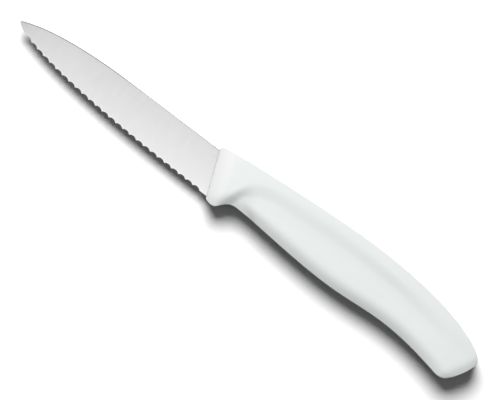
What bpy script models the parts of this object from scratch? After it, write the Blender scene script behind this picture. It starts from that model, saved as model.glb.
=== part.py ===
"""Serrated paring knife: a ground steel blade, and a plastic handle moulded in one shot round its tang.

The knife lies on its side, with its tip towards -X, its spine towards +Y and its mid plane level.
It is drawn in metres from the tip: x along the knife, y across it towards the spine, z through it.
"""

import math

import bmesh
import bpy
import numpy as np
from mathutils import Vector

# Lengths along the knife
BLADE_LENGTH = 0.0800        # from the tip to the middle of the joint line
HANDLE_LENGTH = 0.1062       # from there to the butt
JOINT_LEAN = math.radians(19.4)    # of the joint line, whose spine end is nearer the tip
JOINT_MIDDLE_Y = -0.0033
FIT_GAP = 0.0003             # all round the steel inside the plastic

# Blade
STOCK_THICKNESS = 0.0012     # of the strip that the blade is stamped from
TIP_THICKNESS = 0.0008       # of the back of the point, after the flat grind
EDGE_THICKNESS = 0.0004      # of the flat-ground edge, before the teeth are ground
TIP_HEIGHT = 0.0005          # of the blunt very end of the point
SPINE_RISE = 0.0049          # of the spine's highest place over the tip
SPINE_CREST_X = 0.0370       # of that place
SPINE_SLOPE = -0.024         # of the straight spine from there to the handle
EDGE_DROP = 0.01075          # of the edge at the joint below the tip
EDGE_BELLY_X = 0.0330        # control point of the edge's sweep up to the tip
EDGE_BELLY_DROP = 0.0095
POINT_SWEEP_X = 0.0040       # control point of the steep stretch just behind the tip
POINT_SWEEP_DROP = 0.0051
POINT_BACK_X = 0.0080        # control point of the back of the point
POINT_BACK_RISE = 0.0033

# Teeth: scallops that a ribbed wheel grinds into the far face
TOOTH_PITCH = 0.00293        # along the edge, from point to point
TOOTH_DEPTH = 0.00068        # of a scallop between two points
PLAIN_TIP = 0.0047           # of edge, measured along it, before the first scallop
TOOTH_ANGLE = math.radians(20.0)   # between the ground bevel and the blade's side
TOOTH_POINT_GRIND = 0.00005  # taken off at the points, which makes them sharp
TOOTH_STEPS = 8              # straight facets round each scallop

# Tang
TANG_LENGTH = 0.0600         # behind the joint's middle
TANG_TOP_DROP = 0.0010       # of its upper side below the line of the spine
TANG_BOTTOM_Y = -0.0070
HEEL_LENGTH = 0.0010         # of full blade height that goes into the plastic
SHOULDER_LENGTH = 0.0060     # over which the heel narrows to the tang
TANG_HOLE_RADIUS = 0.0025
TANG_HOLES = (0.0240, 0.0470)      # behind the joint's middle
TANG_MIDDLE_Y = -0.0020

# Handle outline, x from the joint's middle or from the butt, y from the tip
FRONT_STEP = 0.0004          # of the handle's front corner over the spine, and under the edge as FRONT_WALL
FRONT_WALL = 0.00075
BACK_START = (0.0014, 0.00605)
BACK_CREST = (0.0520, 0.0086)
UPPER_CORNER = (-0.0055, 0.0011)   # from the butt
UPPER_CORNER_END = (-0.00015, -0.0045)
GUARD_DROP = 0.0015          # of the guard's tip under the edge
GUARD_TIP_X = 0.0057
GUARD_REAR = (0.0088, -0.0099)
GROOVE = (0.0132, -0.00824)
PALM = (0.0530, -0.01128)
WAIST = (0.0713, -0.01060)
TOE_START = (-0.0110, -0.01372)    # from the butt
TOE_BOTTOM = (-0.0083, -0.01418)
TOE_END = (-0.0049, -0.01265)
BUTT_BOW = 0.0005            # of the butt between its corners

# Handle thickness
BODY_THICKNESS = 0.0124
FRONT_THICKNESS = 0.0074     # at the joint
RAMP_LENGTH = 0.0031         # over which the front would reach the full thickness if it ran straight
RAMP_EASE = 0.85             # share of the ramp over which its top rounds into the flat
WALL_DRAFT = 0.00015         # by which the side walls stand out at the parting plane
BACK_RADIUS = 0.0005         # of the long upper edges
EDGE_RADIUS = 0.0004         # where the lower edges and the butt's meet the side walls
CORNER_BLEND = 4             # how sharply two rounded edges that meet take over from each other
BUTT_LEAN = (0.42, 0.0008, 0.0031)   # slope of the butt's edges, width that slopes so, width of the run into the flat

# Slope of the lower edges in the same way, at shares of the belly's length
ROLL_PLACES = (0.0, 0.058, 0.09, 0.13, 0.20, 0.30, 0.80, 0.90, 1.0)
ROLL_LEANS = (0.24, 0.32, 0.28, 0.37, 0.52, 0.52, 0.56, 0.50, 0.30)
ROLL_FLATS = (0.0005, 0.0010, 0.0013, 0.0007, 0.0009, 0.0007, 0.0005, 0.0005, 0.0005)
ROLL_RUNS = (0.0026, 0.0040, 0.0038, 0.0024, 0.0038, 0.0043, 0.0044, 0.0040, 0.0030)

# Recessed cheek, one on each side, with the middle line of the step down to it; x from the joint's middle
CREASE_FOOT = (0.0091, -0.0112)
CREASE_GUARD = (0.0110, -0.0042)
CREASE_BEND = (0.0153, 0.0002)
CREASE_STRIP = (0.0336, 0.0029)
CREASE_TAIL = (0.0689, 0.0025)
CREASE_END = (0.0960, -0.0011)
# At these six points: depth below the flat and width of the step, depth and width of its soft run into the cheek
CHEEK_DEPTHS = (0.00103, 0.00112, 0.00048, 0.00034, 0.00046, 0.00014)
STEP_WIDTHS = (0.0038, 0.0034, 0.0052, 0.0052, 0.0044, 0.0052)
FOOT_DEPTHS = (0.00016, 0.00016, 0.00004, 0.00016, 0.00016, 0.0)
FOOT_WIDTHS = (0.0052, 0.0034, 0.0072, 0.0064, 0.0054, 0.0054)

# Fineness of the meshes
CURVE_STEPS = 24             # on each stretch of a drawn curve
BLADE_STATIONS = 30
SHOULDER_STEPS, END_STEPS = 7, 9         # round the tang's shoulders and its end
FRONT_RIBS, FRONT_SHARE = 20, 0.135      # sections up to that share of the handle's length
MIDDLE_RIBS, BUTT_SHARE = 36, 0.935      # sections from there to this share
TOE_SHARE = 0.83             # from which the sections bow towards the butt
BUTT_RIBS = 11
BACK_STEPS, FACE_STEPS, BELLY_STEPS = 3, 16, 7      # across each side of a section

STEEL_COLOUR = (0.62, 0.62, 0.62, 1.0)
PLASTIC_COLOUR = (0.80, 0.85, 0.835, 1.0)


# Small tools

def smooth(value):
    """Rise from 0 to 1 with level ends."""
    value = np.clip(value, 0.0, 1.0)
    return value * value * (3.0 - 2.0 * value)


def bezier(a, b, c, d, steps=CURVE_STEPS):
    """Points of one cubic curve."""
    a, b, c, d = (np.array(point, float) for point in (a, b, c, d))
    t = np.linspace(0.0, 1.0, steps + 1)[:, None]
    return a * (1 - t) ** 3 + 3 * b * t * (1 - t) ** 2 + 3 * c * t ** 2 * (1 - t) + d * t ** 3


def drawn_curve(*nodes):
    """Smooth line through nodes of a point, a heading in degrees, and the reach of the handles before and after."""
    pieces = []
    for (start, angle, _, reach), (end, end_angle, end_reach, _) in zip(nodes, nodes[1:]):
        start, end = np.array(start), np.array(end)
        chord = np.linalg.norm(end - start)
        leave = np.array((math.cos(math.radians(angle)), math.sin(math.radians(angle))))
        arrive = np.array((math.cos(math.radians(end_angle)), math.sin(math.radians(end_angle))))
        points = bezier(start, start + leave * reach * chord, end - arrive * end_reach * chord, end)
        pieces.append(points if not pieces else points[1:])
    return np.vstack(pieces)


def arc_lengths(line):
    """Distance along a line of points to each of them."""
    return np.concatenate(((0.0,), np.cumsum(np.linalg.norm(np.diff(line, axis=0), axis=1))))


def along(line, distances):
    """Points of a line at given distances from its start; beyond its ends it runs on straight."""
    lengths = arc_lengths(line)
    distances = np.asarray(distances, float)
    points = np.column_stack([np.interp(distances, lengths, line[:, i]) for i in (0, 1)])
    first = (line[1] - line[0]) / lengths[1]
    last = (line[-1] - line[-2]) / (lengths[-1] - lengths[-2])
    points += np.minimum(distances, 0.0)[:, None] * first
    points += np.maximum(distances - lengths[-1], 0.0)[:, None] * last
    return points


def left_normals(line):
    """Unit vectors to the left of a line's direction, one for each point."""
    direction = np.gradient(line, axis=0)
    direction /= np.linalg.norm(direction, axis=1)[:, None]
    return np.column_stack((-direction[:, 1], direction[:, 0]))


def joint_x(y):
    """Where the joint line lies at a height y."""
    return BLADE_LENGTH - (y - JOINT_MIDDLE_Y) * math.tan(JOINT_LEAN)


def behind_joint(point):
    """Place a point that is measured from the joint's middle."""
    return (BLADE_LENGTH + point[0], point[1])


def before_butt(point):
    """Place a point that is measured from the butt."""
    return (BLADE_LENGTH + HANDLE_LENGTH + point[0], point[1])


def add_solid(name, loops, caps, material=None):
    """Closed solid through loops of points of equal count, each end filled by the given faces of a loop."""
    mesh = bpy.data.meshes.new(name)
    solid = bmesh.new()
    rows = [[solid.verts.new(point) for point in loop] for loop in loops]
    count = len(rows[0])
    for row, after in zip(rows, rows[1:]):
        for i in range(count):
            j = (i + 1) % count
            solid.faces.new((row[i], row[j], after[j], after[i]))
    for cap in caps:
        solid.faces.new([rows[0][i] for i in cap])
        solid.faces.new([rows[-1][i] for i in reversed(cap)])
    bmesh.ops.recalc_face_normals(solid, faces=solid.faces)
    solid.to_mesh(mesh)
    solid.free()
    mesh.shade_smooth()
    mesh.set_sharp_from_angle(angle=math.radians(30.0))
    placed = bpy.data.objects.new(name, mesh)
    bpy.context.scene.collection.objects.link(placed)
    if material:
        mesh.materials.append(material)
    else:
        placed.hide_render = True
        placed.display_type = "WIRE"
    return placed


def add_pins(name, radius):
    """Upright round pins at the places of the tang's holes, as one cutter."""
    mesh = bpy.data.meshes.new(name)
    pins = bmesh.new()
    for x in TANG_HOLES:
        before = set(pins.verts)
        bmesh.ops.create_cone(pins, cap_ends=True, segments=32, radius1=radius, radius2=radius,
                              depth=BODY_THICKNESS)
        made = [vert for vert in pins.verts if vert not in before]
        bmesh.ops.translate(pins, verts=made, vec=Vector((*behind_joint((x, TANG_MIDDLE_Y)), 0.0)))
    pins.to_mesh(mesh)
    pins.free()
    cutter = bpy.data.objects.new(name, mesh)
    bpy.context.scene.collection.objects.link(cutter)
    cutter.hide_render = True
    cutter.display_type = "WIRE"
    return cutter


def cut(body, cutter):
    """Take a cutter's shape out of a body."""
    boolean = body.modifiers.new(cutter.name, "BOOLEAN")
    boolean.operation = "DIFFERENCE"
    boolean.solver = "EXACT"
    boolean.object = cutter


def add_material(name, colour, roughness, metallic):
    """Plain surface finish."""
    material = bpy.data.materials.new(name)
    material.use_nodes = True
    shader = material.node_tree.nodes["Principled BSDF"]
    shader.inputs["Base Color"].default_value = colour
    shader.inputs["Roughness"].default_value = roughness
    shader.inputs["Metallic"].default_value = metallic
    return material


# Blade and tang

def edge_line():
    """The line through the points of the teeth, from the tip to the joint."""
    tip = (0.0002, -TIP_HEIGHT / 2)
    sweep = (POINT_SWEEP_X, -POINT_SWEEP_DROP)
    belly = (EDGE_BELLY_X, -EDGE_BELLY_DROP)
    return bezier(tip, sweep, belly, (joint_x(-EDGE_DROP), -EDGE_DROP), steps=160)


def spine_height(x):
    """Height of the spine's line over the tip: the curved back of the point, then the straight spine."""
    point = bezier((0.0, TIP_HEIGHT / 2), (POINT_BACK_X, POINT_BACK_RISE), (SPINE_CREST_X / 2, SPINE_RISE),
                   (SPINE_CREST_X, SPINE_RISE), steps=60)
    straight = SPINE_RISE + SPINE_SLOPE * (x - SPINE_CREST_X)
    return np.where(x < SPINE_CREST_X, np.interp(x, point[:, 0], point[:, 1]), straight)


def blank_outline():
    """Upper and lower side of the blade and tang, tip first, as two lines with as many points each."""
    joint_top = float(spine_height(BLADE_LENGTH))
    edge = edge_line()
    spread = np.linspace(0.0, 1.0, BLADE_STATIONS) ** 1.5
    upper_x = spread * joint_x(joint_top)
    lower_x = edge[0, 0] + spread * (edge[-1, 0] - edge[0, 0])
    upper = np.column_stack((upper_x, spine_height(upper_x)))
    lower = np.column_stack((lower_x, np.interp(lower_x, edge[:, 0], edge[:, 1])))

    tang_top = joint_top - TANG_TOP_DROP
    middle, radius = (tang_top + TANG_BOTTOM_Y) / 2, (tang_top - TANG_BOTTOM_Y) / 2
    step = np.linspace(0.0, 1.0, SHOULDER_STEPS)
    turn = np.linspace(0.0, math.radians(84.0), END_STEPS)
    end_x = BLADE_LENGTH + TANG_LENGTH - radius * (1 - np.sin(turn))
    tails = []
    for line, tang_y, side in ((upper, tang_top, 1), (lower, TANG_BOTTOM_Y, -1)):
        shoulder_x = line[-1, 0] + HEEL_LENGTH + step * SHOULDER_LENGTH
        shoulder_y = line[-1, 1] + (tang_y - line[-1, 1]) * smooth(step)
        round_end = np.column_stack((end_x, middle + side * radius * np.cos(turn)))
        tails.append(np.vstack((np.column_stack((shoulder_x, shoulder_y)), round_end)))
    return np.vstack((upper, tails[0])), np.vstack((lower, tails[1]))


def add_blank(name, grow, material=None):
    """Flat-ground blade with its tang, or the same grown on all sides by a clearance."""
    upper, lower = blank_outline()
    spine = np.interp(upper[:, 0], (0.0, BLADE_LENGTH), (TIP_THICKNESS, STOCK_THICKNESS)) / 2 + grow
    heel = joint_x(-EDGE_DROP) + HEEL_LENGTH
    edge = np.interp(lower[:, 0], (heel, heel + SHOULDER_LENGTH), (EDGE_THICKNESS, STOCK_THICKNESS)) / 2 + grow
    upper = upper + left_normals(upper) * grow
    lower = lower - left_normals(lower) * grow
    loops = [((*top, half_top), (*bottom, half_bottom), (*bottom, -half_bottom), (*top, -half_top))
             for top, bottom, half_top, half_bottom in zip(upper, lower, spine, edge)]
    return add_solid(name, loops, [(3, 2, 1, 0)], material)


def tooth_stations():
    """Distances along the edge and the depth of grind at each, from before the tip to behind the joint."""
    length = arc_lengths(edge_line())[-1]
    teeth = int((length - PLAIN_TIP) / TOOTH_PITCH)
    wheel_radius = ((TOOTH_PITCH / 2) ** 2 + TOOTH_DEPTH ** 2) / (2 * TOOTH_DEPTH)
    distances = list(np.linspace(-0.001, PLAIN_TIP, 12)[:-1])
    depths = [0.0] * len(distances)
    for tooth in range(teeth):
        for step in range(TOOTH_STEPS):
            across = (step / TOOTH_STEPS - 0.5) * TOOTH_PITCH
            distances.append(PLAIN_TIP + (tooth + 0.5) * TOOTH_PITCH + across)
            depths.append(math.sqrt(wheel_radius ** 2 - across ** 2) - (wheel_radius - TOOTH_DEPTH))
    last = PLAIN_TIP + teeth * TOOTH_PITCH
    return np.array(distances + [last, length + HEEL_LENGTH / 2]), np.array(depths + [0.0, 0.0])


def add_tooth_grind():
    """Comb-shaped cutter, ruled from the scalloped edge line on one face to the far face at the bevel's angle."""
    distances, depths = tooth_stations()
    foot = along(edge_line(), distances)
    inward = left_normals(foot)
    above = STOCK_THICKNESS / 2 + FIT_GAP
    near = EDGE_THICKNESS / 2
    loops = []
    for point, normal, depth in zip(foot, inward, depths):
        bite = depth + TOOTH_POINT_GRIND
        high = point + normal * (bite - (above - near) / math.tan(TOOTH_ANGLE))
        low = point + normal * (bite + (above + near) / math.tan(TOOTH_ANGLE))
        clear = point - normal * (above / math.tan(TOOTH_ANGLE))
        loops.append(((*high, above), (*low, -above), (*clear, -above), (*clear, above)))
    return add_solid("tooth_grind", loops, [(3, 2, 1, 0)])


def add_blade():
    """Stamped, ground and serrated blade with its punched tang."""
    steel = add_material("blade_steel", STEEL_COLOUR, 0.32, 1.0)
    blade = add_blank("blade", 0.0, steel)
    cut(blade, add_tooth_grind())
    cut(blade, add_pins("tang_holes", TANG_HOLE_RADIUS))
    return blade


# Handle

def back_line():
    """The handle's upper outline, from the joint to the butt."""
    front = spine_height(BLADE_LENGTH) + FRONT_STEP
    return drawn_curve(((joint_x(front), front), 78, 0, 0.35),
                       (behind_joint(BACK_START), 6, 0.50, 0.20),
                       (behind_joint(BACK_CREST), 0, 0.28, 0.36),
                       (before_butt(UPPER_CORNER), -25, 0.26, 0.30),
                       (before_butt(UPPER_CORNER_END), -99, 0.34, 0))


def belly_line():
    """The handle's lower outline, from the joint round the guard and along the belly to the toe."""
    front = -EDGE_DROP - FRONT_WALL
    guard = (GUARD_TIP_X, -EDGE_DROP - GUARD_DROP)
    return drawn_curve(((joint_x(front), front), -30, 0, 0.35),
                       (behind_joint(guard), 0, 0.35, 0.36),
                       (behind_joint(GUARD_REAR), 46, 0.30, 0.36),
                       (behind_joint(GROOVE), -2, 0.40, 0.25),
                       (behind_joint(PALM), 0, 0.38, 0.38),
                       (behind_joint(WAIST), 0, 0.38, 0.34),
                       (before_butt(TOE_START), -12.5, 0.34, 0.35),
                       (before_butt(TOE_BOTTOM), 0, 0.35, 0.36),
                       (before_butt(TOE_END), 48, 0.40, 0))


def crease_line():
    """Middle line of the step from the flat down to the cheek, up behind the guard and then along the back."""
    return drawn_curve((behind_joint(CREASE_FOOT), 77, 0, 0.33),
                       (behind_joint(CREASE_GUARD), 63, 0.33, 0.33),
                       (behind_joint(CREASE_BEND), 31, 0.33, 0.30),
                       (behind_joint(CREASE_STRIP), 5, 0.40, 0.33),
                       (behind_joint(CREASE_TAIL), -4, 0.33, 0.33),
                       (behind_joint(CREASE_END), -2, 0.33, 0))


def cheek_recess(points, crease):
    """How far the surface lies below the flat at each point."""
    lengths = arc_lengths(crease)
    side = left_normals(crease)
    gaps = points[:, None, :] - crease[None, :, :]
    nearest = np.argmin((gaps ** 2).sum(axis=2), axis=1)
    gap = gaps[np.arange(len(points)), nearest]
    inside = -(gap * side[nearest]).sum(axis=1)
    knots = lengths[::CURVE_STEPS]
    depth, width, foot, foot_width = (np.interp(lengths[nearest], knots, values)
                                      for values in (CHEEK_DEPTHS, STEP_WIDTHS, FOOT_DEPTHS, FOOT_WIDTHS))
    return depth * smooth(inside / width + 0.5) + foot * smooth(inside / foot_width + 0.15)


def ramp(distance):
    """Share of the rise from the joint to the full thickness, straight and then eased into the flat."""
    t = distance / RAMP_LENGTH
    eased = t - (t - 1 + RAMP_EASE) ** 2 / (4 * RAMP_EASE)
    return np.where(t < 1 - RAMP_EASE, t, np.where(t < 1 + RAMP_EASE, eased, 1.0))


def corner(distance, radius):
    """Drop of an edge rounded with a radius, at a distance inside the outline."""
    t = np.clip(1 - distance / radius, 0.0, 1.0)
    return radius * (1 - np.sqrt(1 - t * t))


def leaning(distance, lean, flat, run):
    """Drop of an edge whose surface slopes evenly at first and then runs softly into the flat."""
    t = np.clip((distance - flat) / run, 0.0, 1.0)
    return lean * (run * (0.5 - t + t ** 3 - t ** 4 / 2) + np.maximum(flat - distance, 0.0))


def rib_places():
    """Shares of the handle's outline at which sections lie, close together at both ends."""
    front = np.linspace(0.0, FRONT_SHARE, FRONT_RIBS, endpoint=False)
    middle = np.linspace(FRONT_SHARE, BUTT_SHARE, MIDDLE_RIBS, endpoint=False)
    butt = BUTT_SHARE + (1 - BUTT_SHARE) * np.sin(np.linspace(0.0, math.pi / 2, BUTT_RIBS))
    return np.concatenate((front, middle, butt))


def section_rows(length, belly_width):
    """Distances from the back at which a section has its points, close together in both rounded edges."""
    turn = np.linspace(0.0, math.pi / 2, BACK_STEPS + 1)
    back = BACK_RADIUS * (1 - np.cos(turn))
    turn = np.linspace(0.0, math.pi / 2, BELLY_STEPS + 1)
    belly = length - belly_width * (1 - np.cos(turn[::-1]))
    face = np.linspace(back[-1], belly[0], FACE_STEPS + 1)[1:-1]
    rows = np.concatenate((back, face, belly))
    return WALL_DRAFT + rows * (1 - 2 * WALL_DRAFT / length)


def belly_roll(place):
    """Slope of the lower edge at a share of the belly, the width that slopes so and that of its run into the flat."""
    return [float(np.interp(place, ROLL_PLACES, values)) for values in (ROLL_LEANS, ROLL_FLATS, ROLL_RUNS)]


def handle_loops():
    """Sections of the handle that fan from the joint line round to the butt."""
    back, belly, crease = back_line(), belly_line(), crease_line()
    places = rib_places()
    tops = along(back, places * arc_lengths(back)[-1])
    bottoms = along(belly, places * arc_lengths(belly)[-1])
    butt = (bottoms[-1] - tops[-1]) / np.linalg.norm(bottoms[-1] - tops[-1])
    butt_outward = np.array((-butt[1], butt[0]))
    joint_inward = np.array((math.cos(JOINT_LEAN), math.sin(JOINT_LEAN)))
    loops = []
    for place, top, bottom in zip(places, tops, bottoms):
        length = np.linalg.norm(bottom - top)
        direction = (bottom - top) / length
        lean, flat, run = belly_roll(place)
        rows = section_rows(length, flat + run)
        arch = 4 * BUTT_BOW * (rows / length) * (1 - rows / length)
        points = top + rows[:, None] * direction
        points += (arch * smooth((place - TOE_SHARE) / (1.0 - TOE_SHARE)))[:, None] * butt_outward

        from_joint = (points - (BLADE_LENGTH, JOINT_MIDDLE_Y)) @ joint_inward
        to_butt = np.maximum((tops[-1] - points) @ butt_outward + arch, 0.0)
        full = FRONT_THICKNESS + (BODY_THICKNESS - FRONT_THICKNESS) * ramp(from_joint)
        leans = (leaning(length - rows - WALL_DRAFT, lean, flat, run), leaning(to_butt, *BUTT_LEAN))
        corners = (corner(rows - WALL_DRAFT, BACK_RADIUS), corner(length - rows - WALL_DRAFT, EDGE_RADIUS),
                   corner(to_butt, EDGE_RADIUS))
        drop = (leans[0] ** 2 + leans[1] ** 2) ** 0.5 + sum(one ** CORNER_BLEND for one in corners) ** (1 / CORNER_BLEND)
        half = full / 2 - cheek_recess(points, crease) - drop
        upper = [(*point, z) for point, z in zip(points, half)]
        lower = [(*point, -z) for point, z in zip(points, half)]
        loops.append([(*top, 0.0)] + upper + [(*bottom, 0.0)] + lower[::-1])
    return loops


def ladder_cap(rows):
    """Faces that fill a section's loop, rung by rung from the back to the belly."""
    count = 2 * rows + 2
    rungs = [(0, count - 1, 1)]
    rungs += [(i, count - i, count - i - 1, i + 1) for i in range(1, rows)]
    rungs += [(rows, rows + 2, rows + 1)]
    return rungs


def add_handle():
    """One-piece moulded handle with the tang's pocket, in which two pillars pass through the tang's holes."""
    plastic = add_material("handle_plastic", PLASTIC_COLOUR, 0.45, 0.0)
    loops = handle_loops()
    handle = add_solid("handle", loops, ladder_cap(len(loops[0]) // 2 - 1), plastic)
    pocket = add_blank("tang_pocket", FIT_GAP)
    cut(pocket, add_pins("pocket_pillars", TANG_HOLE_RADIUS - FIT_GAP))
    cut(handle, pocket)
    return handle


def stand_on_origin(parts):
    """Hang the pieces on an empty, so that the origin is under the middle of the knife as it lies."""
    points = np.array([vert.co for part in parts for vert in part.data.vertices])
    low, high = points.min(axis=0), points.max(axis=0)
    knife = bpy.data.objects.new("knife", None)
    bpy.context.scene.collection.objects.link(knife)
    knife.location = (-(low[0] + high[0]) / 2, -(low[1] + high[1]) / 2, -low[2])
    for placed in bpy.context.scene.objects:
        if placed is not knife:
            placed.parent = knife


def main():
    for old in list(bpy.data.objects):
        bpy.data.objects.remove(old, do_unlink=True)
    stand_on_origin([add_blade(), add_handle()])


main()
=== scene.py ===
"""Serrated paring knife: the ground steel blade, its moulded plastic handle and a plain studio.

Everything is in metres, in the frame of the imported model. The pieces are drawn from the tip of the blade,
x along the knife, y across it towards the spine and z through it, and moved to their place when finished.
"""

import math

import bmesh
import bpy
import numpy as np
from bpy.props import FloatProperty, FloatVectorProperty, IntProperty, PointerProperty
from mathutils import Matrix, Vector
from mathutils.geometry import interpolate_bezier


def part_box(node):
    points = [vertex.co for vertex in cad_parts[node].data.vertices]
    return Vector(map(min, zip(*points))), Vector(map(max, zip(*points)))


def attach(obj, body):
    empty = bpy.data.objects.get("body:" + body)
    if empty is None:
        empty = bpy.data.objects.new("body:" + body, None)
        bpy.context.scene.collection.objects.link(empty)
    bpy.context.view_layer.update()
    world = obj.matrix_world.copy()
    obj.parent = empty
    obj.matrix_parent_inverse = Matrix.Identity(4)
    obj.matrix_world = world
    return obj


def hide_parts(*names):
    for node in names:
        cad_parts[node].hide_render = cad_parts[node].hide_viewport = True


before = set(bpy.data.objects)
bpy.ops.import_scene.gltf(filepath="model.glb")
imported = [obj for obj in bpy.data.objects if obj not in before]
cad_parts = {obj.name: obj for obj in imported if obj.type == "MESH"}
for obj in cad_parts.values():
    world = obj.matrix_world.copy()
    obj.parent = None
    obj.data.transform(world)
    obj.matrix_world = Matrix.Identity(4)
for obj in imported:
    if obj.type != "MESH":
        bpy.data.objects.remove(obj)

bl_info = {
    "name": "Serrated paring knife",
    "version": (1, 0, 0),
    "blender": (4, 5, 0),
    "location": "3D View > Sidebar > Paring Knife",
    "description": "Adds a paring knife with a scalloped edge and a moulded handle, and a plain studio",
    "category": "Add Mesh",
}


# Sizes and colours

class BladeSizes(bpy.types.PropertyGroup):
    """Steel blade and tang."""
    length: FloatProperty(
        name="Length", description="From the tip to the middle of the joint with the handle",
        default=0.080, unit="LENGTH", precision=5)
    stock: FloatProperty(
        name="Stock thickness", description="Thickness of the strip that the blade is cut from",
        default=0.0012, unit="LENGTH", precision=5)
    tip_stock: FloatProperty(
        name="Tip thickness", description="Thickness of the back of the point",
        default=0.0008, unit="LENGTH", precision=5)
    edge: FloatProperty(
        name="Edge thickness", description="Thickness of the flat-ground edge before the scallops",
        default=0.0004, unit="LENGTH", precision=5)
    edge_drop: FloatProperty(
        name="Edge drop", description="How far the edge at the handle lies below the tip",
        default=0.01075, unit="LENGTH", precision=5)
    spine_round: FloatProperty(
        name="Spine rounding", description="Width of the broken edges of the spine",
        default=0.00030, unit="LENGTH", precision=5)
    tooth_pitch: FloatProperty(
        name="Scallop pitch", description="Distance from point to point along the edge",
        default=0.00293, unit="LENGTH", precision=5)
    tooth_depth: FloatProperty(
        name="Scallop depth", description="Depth of a scallop between two points",
        default=0.00068, unit="LENGTH", precision=5)
    plain_tip: FloatProperty(
        name="Plain tip", description="Length of edge before the first scallop",
        default=0.0047, unit="LENGTH", precision=5)
    grind_angle: FloatProperty(
        name="Grind angle", description="Angle between the ground bevel and the blade's side",
        default=math.radians(20.0), unit="ROTATION")
    tang_length: FloatProperty(
        name="Tang length", description="Length of steel inside the handle",
        default=0.060, unit="LENGTH", precision=5)
    colour: FloatVectorProperty(
        name="Steel colour", description="Colour that the steel reflects",
        default=(0.608, 0.608, 0.608, 1.0), size=4, subtype="COLOR", min=0.0, max=1.0)
    roughness: FloatProperty(
        name="Satin roughness", description="Roughness of the ground steel",
        default=0.24, subtype="FACTOR", min=0.0, max=1.0)


class HandleSizes(bpy.types.PropertyGroup):
    """Moulded handle."""
    length: FloatProperty(
        name="Length", description="From the middle of the joint with the blade to the butt",
        default=0.1062, unit="LENGTH", precision=5)
    thickness: FloatProperty(
        name="Thickness", description="Thickness over the flats",
        default=0.0124, unit="LENGTH", precision=5)
    front: FloatProperty(
        name="Front thickness", description="Thickness at the joint with the blade",
        default=0.0074, unit="LENGTH", precision=5)
    ramp: FloatProperty(
        name="Front slope", description="Length over which the front reaches the full thickness",
        default=0.0031, unit="LENGTH", precision=5)
    back_radius: FloatProperty(
        name="Back radius", description="Radius of the long upper edges",
        default=0.0002, unit="LENGTH", precision=5)
    edge_radius: FloatProperty(
        name="Lower edge radius", description="Radius where the lower rounding meets the wall",
        default=0.00010, unit="LENGTH", precision=5)
    guard_recess: FloatProperty(
        name="Recess at the guard", description="Depth of the cheek just behind the guard",
        default=0.0011, unit="LENGTH", precision=5)
    cheek_recess: FloatProperty(
        name="Recess of the cheek", description="Depth of the cheek along the upper strip",
        default=0.00046, unit="LENGTH", precision=5)
    fit: FloatProperty(
        name="Fit", description="Gap between the plastic and the steel",
        default=0.00002, unit="LENGTH", precision=6)
    ribs: IntProperty(name="Ribs", description="Sections along the handle", default=110, min=40, max=200)
    colour: FloatVectorProperty(
        name="Plastic colour", description="Colour of the plastic",
        default=(0.815, 0.85, 0.84, 1.0), size=4, subtype="COLOR", min=0.0, max=1.0)
    # Painted highlight: a whiter, less green colour on the front slope near the joint, where light falls on
    # it
    front_highlight_colour: FloatVectorProperty(
        name="Front colour", description="Colour of the plastic near the joint",
        default=(0.90, 0.886, 0.902, 1.0), size=4, subtype="COLOR", min=0.0, max=1.0)
    roughness: FloatProperty(
        name="Plastic roughness", description="Roughness of the moulded surface",
        default=0.42, subtype="FACTOR", min=0.0, max=1.0)


class StudioSettings(bpy.types.PropertyGroup):
    """Light, floor and camera."""
    key: FloatProperty(
        name="Key light", description="Power of the broad light in watts",
        default=16.76, min=0.0)
    key_height: FloatProperty(
        name="Key height", description="Angle of the broad light over the floor",
        default=math.radians(57.2), unit="ROTATION")
    key_side: FloatProperty(
        name="Key side", description="Angle of the broad light to the left of the picture's top",
        default=math.radians(0.6), unit="ROTATION")
    key_distance: FloatProperty(
        name="Key distance", description="From the middle of the knife to the broad light",
        default=1.2, unit="LENGTH")
    key_width: FloatProperty(
        name="Key width", description="Diameter of the broad light, which softens shadows",
        default=0.72, unit="LENGTH")
    fill: FloatProperty(
        name="Room light", description="Brightness of the room on all sides",
        default=0.059, min=0.0)
    turn: FloatProperty(
        name="Turn of the picture", description="How far the camera is turned about the view",
        default=math.radians(35.8), unit="ROTATION")
    distance: FloatProperty(
        name="Camera distance", description="From the camera to the floor",
        default=1.4, unit="LENGTH")
    width: FloatProperty(
        name="Width in view", description="Width that the picture shows at the knife's middle plane",
        default=0.16325, unit="LENGTH", precision=5)
    floor_colour: FloatVectorProperty(
        name="Floor colour", description="Colour of the floor",
        default=(0.35, 0.35, 0.35, 1.0), size=4, subtype="COLOR", min=0.0, max=1.0)


# Drawing

LINE_STEPS = 24


def heading(degrees):
    """Unit vector in the plane of the knife."""
    return Vector((math.cos(math.radians(degrees)), math.sin(math.radians(degrees)), 0.0))


def drawn_line(*nodes):
    """Points of a smooth line through nodes of x, y, heading in degrees and reach of the two handles."""
    line = []
    for (x, y, turn, _, reach), (end_x, end_y, end_turn, end_reach, _) in zip(nodes, nodes[1:]):
        start, end = Vector((x, y, 0.0)), Vector((end_x, end_y, 0.0))
        span = (end - start).length
        points = interpolate_bezier(start, start + heading(turn) * span * reach,
                                    end - heading(end_turn) * span * end_reach, end, LINE_STEPS + 1)
        line += [point.xy for point in points[bool(line):]]
    return np.array(line)


def distances_along(line):
    """Distance from a line's start to each of its points."""
    return np.concatenate(((0.0,), np.cumsum(np.linalg.norm(np.diff(line, axis=0), axis=1))))


def points_along(line, distances):
    """Points of a line at distances from its start; before its start it runs on straight."""
    lengths = distances_along(line)
    distances = np.asarray(distances, float)
    points = np.column_stack([np.interp(distances, lengths, line[:, i]) for i in (0, 1)])
    points += np.minimum(distances, 0.0)[:, None] * (line[1] - line[0]) / lengths[1]
    return points


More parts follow.
